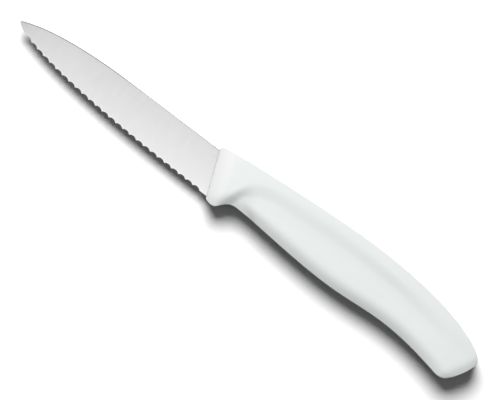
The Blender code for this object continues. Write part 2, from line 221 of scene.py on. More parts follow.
def left_of(line):
    """Unit vectors to the left of a line's direction, one for each point."""
    direction = np.gradient(line, axis=0)
    direction /= np.linalg.norm(direction, axis=1)[:, None]
    return np.column_stack((-direction[:, 1], direction[:, 0]))


def smooth(value):
    """Rise from 0 to 1 with level ends."""
    value = np.clip(value, 0.0, 1.0)
    return value * value * (3.0 - 2.0 * value)


# Modelling

MERGE_DISTANCE = 0.000001


def start_piece(name, add, **sizes):
    """Adds a primitive with nothing else selected, and opens it for editing."""
    bpy.ops.object.select_all(action="DESELECT")
    add(**sizes)
    piece = bpy.context.object
    piece.name = piece.data.name = name
    bpy.ops.object.mode_set(mode="EDIT")
    bpy.ops.mesh.select_mode(type="VERT")
    bpy.ops.mesh.select_all(action="DESELECT")
    return piece


def pick(piece, test):
    """Selects the points of the open mesh for which a test of their index and place holds."""
    mesh = bmesh.from_edit_mesh(piece.data)
    for vert in mesh.verts:
        vert.select = bool(test(vert.index, vert.co))
    mesh.select_flush_mode()
    bmesh.update_edit_mesh(piece.data, loop_triangles=False, destructive=False)


def shift(x, y, z=0.0):
    """Moves what is selected."""
    bpy.ops.transform.translate(value=(x, y, z))


def finish_editing():
    """Closes the open mesh."""
    bpy.ops.object.mode_set(mode="OBJECT")


def make_active(piece):
    """Selects one piece alone."""
    bpy.ops.object.select_all(action="DESELECT")
    piece.select_set(True)
    bpy.context.view_layer.objects.active = piece


def apply_modifier(piece, kind, **settings):
    """Adds a modifier with its settings and applies it."""
    make_active(piece)
    modifier = piece.modifiers.new(kind.title(), kind)
    for name, value in settings.items():
        setattr(modifier, name, value)
    bpy.ops.object.modifier_apply(modifier=modifier.name)


def cut_away(piece, *cutters):
    """Takes the cutters' shapes out of a piece, and removes the cutters."""
    for cutter in cutters:
        apply_modifier(piece, "BOOLEAN", operation="DIFFERENCE", solver="EXACT", object=cutter)
        bpy.data.meshes.remove(cutter.data)


def copy_of(piece, name):
    """Copies a piece together with its mesh."""
    make_active(piece)
    bpy.ops.object.duplicate(linked=False)
    copy = bpy.context.object
    copy.name = copy.data.name = name
    return copy


def extrude_through(name, sections):
    """Closed bar: a plane is set on the first four-cornered section and extruded to each of the others."""
    bar = start_piece(name, bpy.ops.mesh.primitive_plane_add, size=2.0)
    before = [Vector(corner) for corner in ((-1, -1, 0), (1, -1, 0), (1, 1, 0), (-1, 1, 0))]
    for count, section in enumerate(sections):
        section = [Vector(corner) for corner in section]
        step = Vector((0.0, 0.0, 0.0))
        if count:
            step = section[0] - before[0]
            bpy.ops.mesh.extrude_region_move(TRANSFORM_OT_translate={"value": step})
        else:
            bpy.ops.mesh.select_all(action="SELECT")
        mesh = bmesh.from_edit_mesh(bar.data)
        free = [(vert.index, vert.co.copy()) for vert in mesh.verts if vert.select]
        chosen = [min(free, key=lambda one: (one[1] - corner - step).length)[0] for corner in before]
        for index, corner, old in zip(chosen, section, before):
            pick(bar, lambda i, _: i == index)
            shift(*(corner - old - step))
        pick(bar, lambda i, _: i in chosen)
        before = section
    bpy.ops.mesh.select_all(action="SELECT")
    bpy.ops.mesh.normals_make_consistent(inside=False)
    finish_editing()
    return bar


def place_in_frame(piece):
    """Moves a piece from the drawing to the frame, into its mesh."""
    tip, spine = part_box("blade")
    low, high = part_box("handle")
    make_active(piece)
    piece.location = (tip.x, spine.y - SPINE_RISE, (low.z + high.z) / 2)
    bpy.ops.object.transform_apply(location=True, rotation=True, scale=True)


def finish_surface(piece, angle):
    """Merges doubled points, turns the faces outwards and smooths all but the sharp edges."""
    make_active(piece)
    bpy.ops.object.mode_set(mode="EDIT")
    bpy.ops.mesh.select_all(action="SELECT")
    bpy.ops.mesh.remove_doubles(threshold=MERGE_DISTANCE)
    bpy.ops.mesh.normals_make_consistent(inside=False)
    finish_editing()
    bpy.ops.object.shade_smooth_by_angle(angle=angle)


# Blade

SPINE_RISE = 0.0049
SPINE_CREST = 0.0370
SPINE_SLOPE = -0.024
TIP_HEIGHT = 0.0005
JOINT_LEAN = math.radians(19.4)
JOINT_MIDDLE = -0.0033
EDGE_START, EDGE_HANDLES, EDGE_STEPS = 0.0002, ((0.0040, -0.0051), (0.0330, -0.0095)), 161
POINT_HANDLE, POINT_STEPS = (0.0080, 0.0033), 61
# Stations of the blank stand closer together towards the tip
STATIONS, STATION_POWER = 44, 1.5
HEEL = 0.0010
SHOULDER, SHOULDER_STEPS = 0.0060, 9
TANG_DROP, TANG_BOTTOM, TANG_MIDDLE = 0.0010, -0.0070, -0.0020
TANG_TURN, TANG_STEPS = math.radians(84.0), 14
TANG_HOLES, HOLE_RADIUS, PIN_LENGTH = (0.0240, 0.0470), 0.0025, 0.01
# The broken edges of the spine start behind the tip and end inside the handle
BROKEN_START, BROKEN_PAST_JOINT, BROKEN_SEGMENTS = 0.0003, 0.0005, 6
ON_LINE = 0.00001
# How deep the points of the scallops are ground in, and how far the cutters stand clear of the blade
POINT_GRIND, CUTTER_CLEARANCE = 0.00005, 0.0003
WHEEL_SIDES, PIN_SIDES = 96, 64
DIRECTION_STEP = 0.0002
TIP_CUT_START, TIP_CUT_PAST, TIP_CUT_STEPS = -0.001, 0.0002, 14
BLADE_SMOOTH_ANGLE = math.radians(6.0)


def bezier(corners, steps):
    """Points of one curve from its four corners."""
    points = interpolate_bezier(*(Vector((*corner, 0.0)) for corner in corners), steps)
    return np.array([point.xy for point in points])


def joint_x(sizes, y):
    """Where the joint between steel and plastic lies at a height y."""
    return sizes.length - (y - JOINT_MIDDLE) * math.tan(JOINT_LEAN)


def edge_line(sizes):
    """Line through the points of the scallops, from the tip to the joint."""
    corners = ((EDGE_START, -TIP_HEIGHT / 2), *EDGE_HANDLES,
               (joint_x(sizes, -sizes.edge_drop), -sizes.edge_drop))
    return bezier(corners, EDGE_STEPS)


def spine_height(x):
    """Height of the spine over the tip: the curved back of the point and the straight spine."""
    point = bezier(((0.0, TIP_HEIGHT / 2), POINT_HANDLE, (SPINE_CREST / 2, SPINE_RISE),
                    (SPINE_CREST, SPINE_RISE)), POINT_STEPS)
    return np.where(x < SPINE_CREST, np.interp(x, point[:, 0], point[:, 1]),
                    SPINE_RISE + SPINE_SLOPE * (x - SPINE_CREST))


def blank_outline(sizes):
    """Upper and lower side of the blade and its tang, tip first, with as many points each."""
    joint_top = float(spine_height(sizes.length))
    edge = edge_line(sizes)
    spread = np.linspace(0.0, 1.0, STATIONS) ** STATION_POWER
    upper_x = spread * joint_x(sizes, joint_top)
    lower_x = edge[0, 0] + spread * (edge[-1, 0] - edge[0, 0])
    upper = np.column_stack((upper_x, spine_height(upper_x)))
    lower = np.column_stack((lower_x, np.interp(lower_x, edge[:, 0], edge[:, 1])))
    tang_top = joint_top - TANG_DROP
    middle, radius = (tang_top + TANG_BOTTOM) / 2, (tang_top - TANG_BOTTOM) / 2
    step, turn = np.linspace(0.0, 1.0, SHOULDER_STEPS), np.linspace(0.0, TANG_TURN, TANG_STEPS)
    end_x = sizes.length + sizes.tang_length - radius * (1 - np.sin(turn))
    tails = []
    for line, tang_y, side in ((upper, tang_top, 1), (lower, TANG_BOTTOM, -1)):
        shoulder = np.column_stack((line[-1, 0] + HEEL + step * SHOULDER,
                                    line[-1, 1] + (tang_y - line[-1, 1]) * smooth(step)))
        tails.append(np.vstack((shoulder, np.column_stack((end_x, middle + side * radius * np.cos(turn))))))
    return np.vstack((upper, tails[0])), np.vstack((lower, tails[1]))


def add_blank(name, sizes):
    """Flat-ground blank with its tang, extruded from the tip backwards."""
    upper, lower = blank_outline(sizes)
    spine = np.interp(upper[:, 0], (0.0, sizes.length), (sizes.tip_stock, sizes.stock)) / 2
    heel = joint_x(sizes, -sizes.edge_drop) + HEEL
    edge = np.interp(lower[:, 0], (heel, heel + SHOULDER), (sizes.edge, sizes.stock)) / 2
    return extrude_through(name, [((*top, half), (*bottom, thin), (*bottom, -thin), (*top, -half))
                                  for top, bottom, half, thin in zip(upper, lower, spine, edge)])


def break_spine(blank, sizes):
    """Rounds the two long edges of the spine."""
    make_active(blank)
    bpy.ops.object.mode_set(mode="EDIT")
    last = joint_x(sizes, float(spine_height(sizes.length))) + BROKEN_PAST_JOINT
    pick(blank, lambda _, co: (BROKEN_START < co.x < last
                               and abs(co.y - float(spine_height(co.x))) < ON_LINE))
    bpy.ops.mesh.select_mode(type="EDGE")
    mesh = bmesh.from_edit_mesh(blank.data)
    for edge in mesh.edges:
        # Edges across the thickness of the spine
        if edge.verts[0].co.z * edge.verts[1].co.z < 0.0:
            edge.select = False
    mesh.select_flush_mode()
    bmesh.update_edit_mesh(blank.data)
    bpy.ops.mesh.bevel(offset=sizes.spine_round, segments=BROKEN_SEGMENTS, affect="EDGES",
                       clamp_overlap=True)
    bpy.ops.mesh.select_mode(type="VERT")
    finish_editing()


def grinding_reach(sizes):
    """How far a cutter stands above the blade's middle plane, and the slope and start of its lean."""
    return sizes.stock / 2 + CUTTER_CLEARANCE, math.tan(sizes.grind_angle), sizes.edge / 2


def add_wheel(sizes, radius):
    """One grinding wheel, leaning by the angle at which it meets the far face of the blade."""
    above, slope, near = grinding_reach(sizes)
    wheel = start_piece("wheel", bpy.ops.mesh.primitive_cylinder_add, vertices=WHEEL_SIDES, radius=radius,
                        depth=2 * above)
    pick(wheel, lambda _, co: co.z > 0)
    shift(0.0, -(above - near) / slope)
    pick(wheel, lambda _, co: co.z < 0)
    shift(0.0, (above + near) / slope)
    finish_editing()
    return wheel


def add_scallop_cutters(sizes):
    """Wheels along the edge, from the plain tip to the handle, in two sets in which none overlap."""
    pitch, depth = sizes.tooth_pitch, sizes.tooth_depth
    radius = ((pitch / 2) ** 2 + depth ** 2) / (2 * depth)
    line = edge_line(sizes)
    teeth = int((distances_along(line)[-1] - sizes.plain_tip) / pitch)
    middles = sizes.plain_tip + (np.arange(teeth) + 0.5) * pitch
    feet = points_along(line, middles)
    ahead = points_along(line, middles + DIRECTION_STEP) - points_along(line, middles - DIRECTION_STEP)
    wheel = add_wheel(sizes, radius)
    wheels = []
    sink = depth + POINT_GRIND - radius
    for foot, direction in zip(feet, ahead):
        turn = math.atan2(direction[1], direction[0])
        one = copy_of(wheel, "wheel_copy")
        one.location = (foot[0] - sink * math.sin(turn), foot[1] + sink * math.cos(turn), 0.0)
        one.rotation_euler = (0.0, 0.0, turn)
        wheels.append(one)
    bpy.data.meshes.remove(wheel.data)
    sets = []
    for every_second in (wheels[::2], wheels[1::2]):
        make_active(every_second[0])
        for one in every_second:
            one.select_set(True)
        bpy.ops.object.join()
        bpy.ops.object.transform_apply(location=True, rotation=True, scale=True)
        sets.append(bpy.context.object)
    return sets


def add_tip_cutter(sizes):
    """Bar that grinds the same bevel along the plain stretch of edge behind the tip."""
    above, slope, near = grinding_reach(sizes)
    line = edge_line(sizes)
    stretch = np.linspace(TIP_CUT_START, sizes.plain_tip, TIP_CUT_STEPS)
    feet = points_along(line, np.concatenate((stretch, (sizes.plain_tip + TIP_CUT_PAST,))))
    sections = []
    for foot, inward in zip(feet, left_of(feet)):
        high = foot + inward * (POINT_GRIND - (above - near) / slope)
        low = foot + inward * (POINT_GRIND + (above + near) / slope)
        clear = foot - inward * above / slope
        sections.append(((*high, above), (*low, -above), (*clear, -above), (*clear, above)))
    return extrude_through("tip_cutter", sections)


def add_pins(sizes, radius):
    """Upright pins at the holes of the tang."""
    pins = []
    for x in TANG_HOLES:
        bpy.ops.object.select_all(action="DESELECT")
        bpy.ops.mesh.primitive_cylinder_add(vertices=PIN_SIDES, radius=radius, depth=PIN_LENGTH,
                                            location=(sizes.length + x, TANG_MIDDLE, 0.0))
        pins.append(bpy.context.object)
    return pins


class KNIFE_OT_add_blade(bpy.types.Operator):
    """Add the ground and scalloped blade with its tang"""
    bl_idname = "knife.add_blade"
    bl_label = "Add Blade"

    def execute(self, context):
        sizes = context.scene.knife_blade
        blade = add_blank("knife_blade", sizes)
        break_spine(blade, sizes)
        cut_away(blade, *add_scallop_cutters(sizes), add_tip_cutter(sizes), *add_pins(sizes, HOLE_RADIUS))
        finish_surface(blade, BLADE_SMOOTH_ANGLE)
        place_in_frame(blade)
        blade.data.materials.clear()
        blade.data.materials.append(ground_steel(sizes))
        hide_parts("blade")
        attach(blade, "root")
        return {"FINISHED"}


# Handle

FRONT_ABOVE_SPINE, FRONT_BELOW_EDGE = 0.0004, 0.00075
# The front slope bends softly into the flat over this share of its length before and behind its end
RAMP_EASE = 0.85
# How far the second column and row stand inside the first, in metres and as a share of a rib
DRAFT, DRAFT_SHARE = 0.00010, 0.0032
GUARD_TIP, TOE_START = 0.0057, 0.83
BUTT_BOW = 0.0005
# Lower rounding at shares of the belly: lean at the outline, width that leans so, run into the flat
ROLL_PLACES = (0.0, 0.058, 0.09, 0.13, 0.20, 0.30, 0.80, 0.90, 1.0)
ROLL_LEANS = (0.12, 0.35, 0.31, 0.46, 0.52, 0.52, 0.56, 0.50, 0.30)
ROLL_FLATS = (0.0005, 0.0010, 0.0012, 0.0008, 0.0009, 0.0007, 0.0005, 0.0005, 0.0005)
ROLL_RUNS = (0.0026, 0.0040, 0.0038, 0.0033, 0.0038, 0.0043, 0.0044, 0.0040, 0.0030)
BUTT_LEAN, BUTT_FLAT, BUTT_RUN = 0.37, 0.0008, 0.0031
# Step down to the cheek at the six points of its line: share of the recess at the guard for the first two
# and of the cheek's for the others, width, and depth and width of its soft run into the cheek
STEP_SHARES = (0.94, 1.02, 1.04, 0.74, 1.0, 0.3)
STEP_WIDTHS = (0.0038, 0.0034, 0.0052, 0.0052, 0.0044, 0.0052)
FOOT_DEPTHS = (0.00016, 0.00016, 0.00004, 0.00016, 0.00016, 0.0)
FOOT_WIDTHS = (0.0052, 0.0034, 0.0072, 0.0064, 0.0054, 0.0054)
STEP_MIDDLE, FOOT_START = 0.5, 0.15
# Ribs at the front and the butt, as shares of all ribs, and where on the outline they end and start
FRONT_RIBS, BUTT_RIBS = 0.31, 0.17
FRONT_END, BUTT_START = 0.135, 0.935
# Rows in the upper rounding, on the face and in the lower rounding, and how far the roundings' rows reach
ROWS = (8, 26, 12)
UPPER_ROWS_REACH, LOWER_ROWS_REACH = 0.06, 0.30
HANDLE_SMOOTH_ANGLE = math.radians(40.0)
MIRROR_MERGE = 0.00002


def handle_lines(blade, handle):
    """Back, belly and the middle line of the step down to the cheek, each from the front to the butt."""
    start, end = blade.length, blade.length + handle.length
    top = float(spine_height(start)) + FRONT_ABOVE_SPINE
    low = -blade.edge_drop - FRONT_BELOW_EDGE
    back = drawn_line((joint_x(blade, top), top, 78, 0, 0.35),
                      (start + 0.0014, 0.00605, 6, 0.50, 0.20),
                      (start + 0.0520, 0.0086, 0, 0.28, 0.36),
                      (end - 0.0055, 0.0011, -25, 0.26, 0.30),
                      (end - 0.00015, -0.0045, -99, 0.34, 0))
    belly = drawn_line((joint_x(blade, low), low, -30, 0, 0.35),
                       (start + GUARD_TIP, -blade.edge_drop - 0.0015, 0, 0.35, 0.36),
                       (start + 0.0088, -0.0099, 46, 0.30, 0.36),
                       (start + 0.0132, -0.00824, -2, 0.40, 0.25),
                       (start + 0.0530, -0.01128, 0, 0.38, 0.38),
                       (start + 0.0713, -0.01060, 0, 0.38, 0.34),
                       (end - 0.0110, -0.01372, -12.5, 0.34, 0.35),
                       (end - 0.0083, -0.01418, 0, 0.35, 0.36),
                       (end - 0.0049, -0.01265, 48, 0.40, 0))
    crease = drawn_line((start + 0.0091, -0.0112, 77, 0, 0.33),
                        (start + 0.0110, -0.0042, 63, 0.33, 0.33),
                        (start + 0.0153, 0.0002, 31, 0.33, 0.30),
                        (start + 0.0336, 0.0029, 5, 0.40, 0.33),
                        (start + 0.0689, 0.0025, -4, 0.33, 0.33),
                        (start + 0.0960, -0.0011, -2, 0.33, 0))
    return back, belly, crease


def rib_places(count):
    """Shares of the outline at which ribs stand, close together at both ends."""
    front, butt = int(count * FRONT_RIBS), int(count * BUTT_RIBS)
    return np.concatenate((np.linspace(0.0, FRONT_END, front, endpoint=False),
                           np.linspace(FRONT_END, BUTT_START, count - front - butt, endpoint=False),
                           BUTT_START + (1 - BUTT_START) * np.sin(np.linspace(0.0, math.pi / 2, butt))))


def row_shares():
    """Shares of a rib's length at which it has its points, close together in both rounded edges."""
    back, face, belly = ROWS
    upper = UPPER_ROWS_REACH * (1 - np.cos(np.linspace(0.0, math.pi / 2, back + 1)))
    lower = 1 - LOWER_ROWS_REACH * (1 - np.cos(np.linspace(0.0, math.pi / 2, belly + 1)[::-1]))
    return np.concatenate((upper, np.linspace(upper[-1], lower[0], face + 1)[1:-1], lower))


def rounded(distance, radius):
    """Drop of an edge rounded with a radius, at a distance inside the outline."""
    t = np.clip(1 - distance / radius, 0.0, 1.0)
    return radius * (1 - np.sqrt(1 - t * t))


def leaning(distance, lean, flat, run):
    """Drop of an edge whose surface leans evenly at first and then runs softly into the flat."""
    t = np.clip((distance - flat) / run, 0.0, 1.0)
    return lean * (run * (0.5 - t + t ** 3 - t ** 4 / 2) + np.maximum(flat - distance, 0.0))


def recess(points, crease, handle):
    """How far the cheek lies below the flat at each point."""
    side = left_of(crease)
    gaps = points[:, None, :] - crease[None, :, :]
    nearest = np.argmin((gaps ** 2).sum(axis=2), axis=1)
    gap = gaps[np.arange(len(points)), nearest]
    inside = -(gap * side[nearest]).sum(axis=1)
    lengths = distances_along(crease)
    knots = lengths[::LINE_STEPS]
    depths = np.multiply(STEP_SHARES, (handle.guard_recess,) * 2 + (handle.cheek_recess,) * 4)
    depth, width, foot, foot_width = (np.interp(lengths[nearest], knots, values)
                                      for values in (depths, STEP_WIDTHS, FOOT_DEPTHS, FOOT_WIDTHS))
    return depth * smooth(inside / width + STEP_MIDDLE) + foot * smooth(inside / foot_width + FOOT_START)


def flat_height(handle, from_joint):
    """Height of the flat over the middle plane, at a distance from the joint where it slopes."""
    rise = from_joint / handle.ramp
    eased = rise - (rise - 1 + RAMP_EASE) ** 2 / (4 * RAMP_EASE)
    rise = np.where(rise < 1 - RAMP_EASE, rise, np.where(rise < 1 + RAMP_EASE, eased, 1.0))
    return (handle.front + (handle.thickness - handle.front) * rise) / 2


def edge_fall(handle, place, from_back, from_belly, from_butt):
    """How far the edges fall below the flat, at distances from the back, the belly and the butt."""
    roll = [np.interp(place, ROLL_PLACES, values) for values in (ROLL_LEANS, ROLL_FLATS, ROLL_RUNS)]
    leans = (leaning(from_belly, *roll), leaning(from_butt, BUTT_LEAN, BUTT_FLAT, BUTT_RUN))
    edges = (rounded(from_back, handle.back_radius), rounded(from_belly, handle.edge_radius),
             rounded(from_butt, handle.edge_radius))
    return (leans[0] ** 2 + leans[1] ** 2) ** 0.5 + sum(one ** 4 for one in edges) ** 0.25


def add_sheet(name, tops, bottoms, shares):
    """Grid whose columns stand between upper and lower points, with rows at shares of each column."""
    columns, rows = len(tops), len(shares)
    sheet = start_piece(name, bpy.ops.mesh.primitive_grid_add, x_subdivisions=columns - 1,
                        y_subdivisions=rows - 1, size=2.0)
    if len(sheet.data.vertices) != columns * rows:
        raise RuntimeError("the grid has another number of points than the sheet needs")
    for row in range(rows):
        pick(sheet, lambda i, _: i // columns == row)
        shift(0.0, 0.5 - shares[row] - (2.0 * row / (rows - 1) - 1.0))
    for column in range(columns):
        x = 2.0 * column / (columns - 1) - 1.0
        top, bottom = tops[column], bottoms[column]
        rise = top - bottom
        pick(sheet, lambda i, _: i % columns == column)
        bpy.ops.transform.resize(value=(1.0, float(np.linalg.norm(rise)), 1.0),
                                 center_override=(x, 0.0, 0.0))
        bpy.ops.transform.rotate(value=-math.atan2(-rise[0], rise[1]), orient_axis="Z",
                                 center_override=(x, 0.0, 0.0))
        shift(*((top + bottom) / 2 - (x, 0.0)))
    finish_editing()
    return sheet


def displace(piece, axis, strength, weights):
    """Moves each point of a mesh along an axis by its weight times a strength."""
    group = piece.vertex_groups.new(name="weights")
    for index, weight in enumerate(weights):
        group.add([index], float(weight), "REPLACE")
    apply_modifier(piece, "DISPLACE", direction=axis, vertex_group=group.name, strength=strength,
                   mid_level=0.0)
    piece.vertex_groups.clear()


def add_side(blade, handle):
    """One side of the handle: a sheet of ribs between the back and the belly, raised to its height."""
    back, belly, crease = handle_lines(blade, handle)
    places, shares = rib_places(handle.ribs), row_shares()
    tops = points_along(back, places * distances_along(back)[-1])
    bottoms = points_along(belly, places * distances_along(belly)[-1])
    inward = np.array((math.cos(JOINT_LEAN), math.sin(JOINT_LEAN)))
    edge = (bottoms[-1] - tops[-1]) / np.linalg.norm(bottoms[-1] - tops[-1])
    outward = np.array((-edge[1], edge[0]))
    # The first and last column and row stay on the middle plane and close the sides, a draft further out
    tops, bottoms = (np.vstack((line[:1], line[:1] + inward * DRAFT, line[1:-1],
                                line[-1:] - outward * DRAFT, line[-1:])) for line in (tops, bottoms))
    places = np.concatenate((places[:1], places, places[-1:]))
    drafted = np.concatenate(((0.0,), DRAFT_SHARE + (1 - 2 * DRAFT_SHARE) * shares, (1.0,)))
    shares = np.concatenate((shares[:1], shares, shares[-1:]))
    columns, rows = len(places), len(shares)
    side = add_sheet("knife_handle", tops, bottoms, drafted)

    share, place = np.repeat(shares, columns), np.tile(places, rows)
    arch = 4 * share * (1 - share)
    displace(side, "X", BUTT_BOW, arch * smooth((place - TOE_START) / (1 - TOE_START)))

    points = np.array([vert.co.xy for vert in side.data.vertices])
    length = np.tile(np.linalg.norm(tops - bottoms, axis=1), rows)
    from_joint = (points - (blade.length, JOINT_MIDDLE)) @ inward
    from_butt = np.maximum((tops[-1] - points) @ outward + BUTT_BOW * arch, 0.0)
    height = (flat_height(handle, from_joint) - recess(points, crease, handle)
              - edge_fall(handle, place, share * length, (1 - share) * length, from_butt))
    column, row = np.tile(np.arange(columns), rows), np.repeat(np.arange(rows), columns)
    rim = (column == 0) | (column == columns - 1) | (row == 0) | (row == rows - 1)
    displace(side, "Z", handle.thickness / 2, np.where(rim, 0.0, height / (handle.thickness / 2)))
    return side


def add_pocket(blade, fit):
    """Room for the tang with a gap all round, but for the plastic that passes through its holes."""
    pocket = add_blank("pocket", blade)
    bpy.ops.object.mode_set(mode="EDIT")
    bpy.ops.mesh.select_all(action="SELECT")
    bpy.ops.transform.shrink_fatten(value=fit)
    finish_editing()
    cut_away(pocket, *add_pins(blade, HOLE_RADIUS - fit))
    return pocket


class KNIFE_OT_add_handle(bpy.types.Operator):
    """Add the moulded handle with the pocket that holds the tang"""
    bl_idname = "knife.add_handle"
    bl_label = "Add Handle"

    def execute(self, context):
        blade, sizes = context.scene.knife_blade, context.scene.knife_handle
        handle = add_side(blade, sizes)
        apply_modifier(handle, "MIRROR", use_axis=(False, False, True), use_mirror_merge=True,
                       merge_threshold=MIRROR_MERGE)
        finish_surface(handle, HANDLE_SMOOTH_ANGLE)
        apply_modifier(handle, "SUBSURF", levels=1, render_levels=1)
        cut_away(handle, add_pocket(blade, sizes.fit))
        finish_surface(handle, HANDLE_SMOOTH_ANGLE)
        place_in_frame(handle)
        handle.data.materials.clear()
        handle.data.materials.append(moulded_plastic(sizes))
        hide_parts("handle")
        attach(handle, "root")
        return {"FINISHED"}


# Materials

WHITE = (1.0, 1.0, 1.0, 1.0)
# Steel: repeats per metre of the grinding lines along and across the blade, and of the clouds in the satin
GRIND_LINES, SATIN_CLOUDS = (5200.0, 190.0, 190.0), 34.0
# Painted reflection: how much lighter the steel is painted from spine to edge and from tip to joint,
# and a painted highlight in a strip along the edge
BLADE_DEPTH, REFLECTION_DOWN, REFLECTION_BACK = 0.0155, 0.50, 0.46
HIGHLIGHT_WIDTH, EDGE_HIGHLIGHT = 0.0016, 0.1
# Shaded and lit copies of the steel colour, between which the painted reflection runs
SATIN_SHADED, SATIN_LIT = 0.80, 1.25
# What the clouds and the lines change: the tone by both, the roughness and the bump by the lines
CLOUD_TONE, LINE_TONE, LINE_ROUGHNESS = 0.12, 0.1, 0.08
LINE_BUMP = {"Strength": 0.12, "Distance": 0.00001}
# The spine, duller than the sides and painted darker as a shaded line: how fast it hides the satin as a
# face turns up, and its share at the joint, to which it falls from whole between 44 and 63 hundredths of
# the blade
SPINE_FACING, SPINE_SHARE, SPINE_WHOLE, SPINE_FADE = 30.0, 0.7, 3.3, 5.2
# Dark and lighter copies of the steel colour that paint the spine's shade
SPINE_SHADE_DARK, SPINE_SHADE_LIGHT = 0.34, 0.46
# Plastic: repeats per metre of its clouds, of the grain of its mould and of the marks of its flow
PLASTIC_CLOUDS, MOULD_GRAIN, FLOW_MARKS = 45.0, 2600.0, 150.0
PLASTIC_DARK, PLASTIC_BRIGHT = 0.985, 1.012
GRAIN_HEIGHT, FLOW_HEIGHT, FLOW_STRETCH = 0.8, 0.6, (0.35, 1.0, 1.0)
GRAIN_ROUGHNESS, CLOUD_ROUGHNESS = 0.12, 0.05
MOULD_BUMP = {"Strength": 0.15, "Distance": 0.00002}
# Where the painted highlight on the front ends behind the joint, over which length it fades, and how
# unevenly
FRONT_HIGHLIGHT_END, FRONT_HIGHLIGHT_FADE, FRONT_HIGHLIGHT_CLOUDS = 0.0100, 0.0070, 0.3


class Value:
    """One number that a node gives; arithmetic on it adds Math nodes."""

    def __init__(self, nodes, socket):
        self.nodes, self.socket = nodes, socket

    def maths(self, operation, *others):
        """Result of a Math node on this number and others."""
        return self.nodes.add("ShaderNodeMath", {"operation": operation}, dict(enumerate((self, *others))))

    def __add__(self, other):
        return self.maths("ADD", other)

    def __sub__(self, other):
        return self.maths("SUBTRACT", other)

    def __rsub__(self, other):
        return self.nodes.add("ShaderNodeMath", {"operation": "SUBTRACT"}, {0: other, 1: self})

    def __mul__(self, other):
        return self.maths("MULTIPLY", other)

    def __truediv__(self, other):
        return self.maths("DIVIDE", other)

    def clipped(self):
        """The number kept between 0 and 1."""
        return self.nodes.add("ShaderNodeClamp", {}, {"Value": self})

    __radd__ = __add__
    __rmul__ = __mul__


class Nodes:
    """Nodes of a material or of the world."""

    def __init__(self, owner):
        owner.use_nodes = True
        self.tree = owner.node_tree
        self.tree.nodes.clear()

    def add(self, kind, settings=None, inputs=None, output=0):
        """Adds a node of a type, its settings first and then its sockets, and gives one of its outputs."""
        node = self.tree.nodes.new(kind)
        for name, setting in (settings or {}).items():
            setattr(node, name, setting)
        for name, value in (inputs or {}).items():
            socket = node.inputs[name] if isinstance(name, int) else next(
                one for one in node.inputs if one.name == name and one.enabled)
            if isinstance(value, Value):
                self.tree.links.new(value.socket, socket)
            else:
                socket.default_value = value
        outputs = [one for one in node.outputs if one.enabled]
        if not outputs:
            return None
        return Value(self, outputs[output] if isinstance(output, int) else node.outputs[output])

    def place(self, scale=(1.0, 1.0, 1.0)):
        """Place on the piece, stretched for a pattern."""
        spot = self.add("ShaderNodeTexCoord", output="Object")
        return self.add("ShaderNodeMapping", {}, {"Vector": spot, "Scale": scale})

    def noise(self, scale, detail=2.0, stretch=(1.0, 1.0, 1.0)):
        """Cloudy pattern from 0 to 1."""
        return self.add("ShaderNodeTexNoise", {}, {"Vector": self.place(stretch), "Scale": scale,
                                                   "Detail": detail})

    def part(self, vector, axis):
        """One axis of a place or a direction."""
        return self.add("ShaderNodeSeparateXYZ", {}, {0: vector}, output=axis)

    def blend(self, factor, first, second):
        """Colour between two colours."""
        return self.add("ShaderNodeMix", {"data_type": "RGBA"}, {"Factor": factor, "A": first, "B": second})


def sum_of_powers(x, factors):
    """Value of a polynomial, its highest power first."""
    total = float(factors[0])
    for factor in factors[1:]:
        total = total * x + float(factor)
    return total


def shade(colour, by):
    """A colour made lighter or darker."""
    return (*(min(1.0, part * by) for part in colour[:3]), 1.0)


def ground_steel(sizes):
    """Satin stainless steel with the fine lines of its last grind."""
    material = bpy.data.materials.new("blade_steel")
    nodes = Nodes(material)
    lines = nodes.noise(1.0, 3.0, GRIND_LINES)
    broad = nodes.noise(SATIN_CLOUDS, 2.0)
    # Painted reflection: the steel is painted lighter towards the edge and the handle, with a painted
    # highlight along the edge
    tip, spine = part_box("blade")
    x, y = (nodes.part(nodes.place(), axis) for axis in "XY")
    x, y = x - tip.x, y - (spine.y - SPINE_RISE)
    line = edge_line(sizes)
    edge = sum_of_powers(x, np.polyfit(line[:, 0], line[:, 1], 4))
    fine = (SPINE_RISE - y) * (REFLECTION_DOWN / BLADE_DEPTH) + x * (REFLECTION_BACK / sizes.length)
    strip = (1.0 - (y - edge) / HIGHLIGHT_WIDTH).clipped()
    marks = (broad - 0.5) * CLOUD_TONE + (lines - 0.5) * LINE_TONE
    tone = (fine + strip * EDGE_HIGHLIGHT + marks).clipped()
    satin = nodes.blend(tone, shade(sizes.colour, SATIN_SHADED), shade(sizes.colour, SATIN_LIT))
    # The spine is left as it was cut out, duller than the ground sides, and is painted darker as a shaded
    # line, less so towards the handle
    facing = nodes.part(nodes.add("ShaderNodeNewGeometry", output="Normal"), "Y")
    whole = (SPINE_WHOLE - x * (SPINE_FADE / sizes.length)).clipped()
    cut = (facing * SPINE_FACING).clipped() * (SPINE_SHARE + (1 - SPINE_SHARE) * whole)
    bump = nodes.add("ShaderNodeBump", {}, {"Height": lines, **LINE_BUMP})
    rough = (lines - 0.5) * LINE_ROUGHNESS + sizes.roughness
    ground = nodes.add("ShaderNodeBsdfPrincipled", {}, {
        "Base Color": satin, "Metallic": 1.0, "Roughness": rough, "Normal": bump})
    # Painted shade on the duller spine, in clouds between a dark and a lighter copy of the steel
    spotted = nodes.blend(broad, shade(sizes.colour, SPINE_SHADE_DARK), shade(sizes.colour, SPINE_SHADE_LIGHT))
    dull = nodes.add("ShaderNodeBsdfDiffuse", {}, {"Color": spotted, "Normal": bump})
    surface = nodes.add("ShaderNodeMixShader", {}, {0: cut, 1: ground, 2: dull})
    nodes.add("ShaderNodeOutputMaterial", {}, {"Surface": surface})
    return material


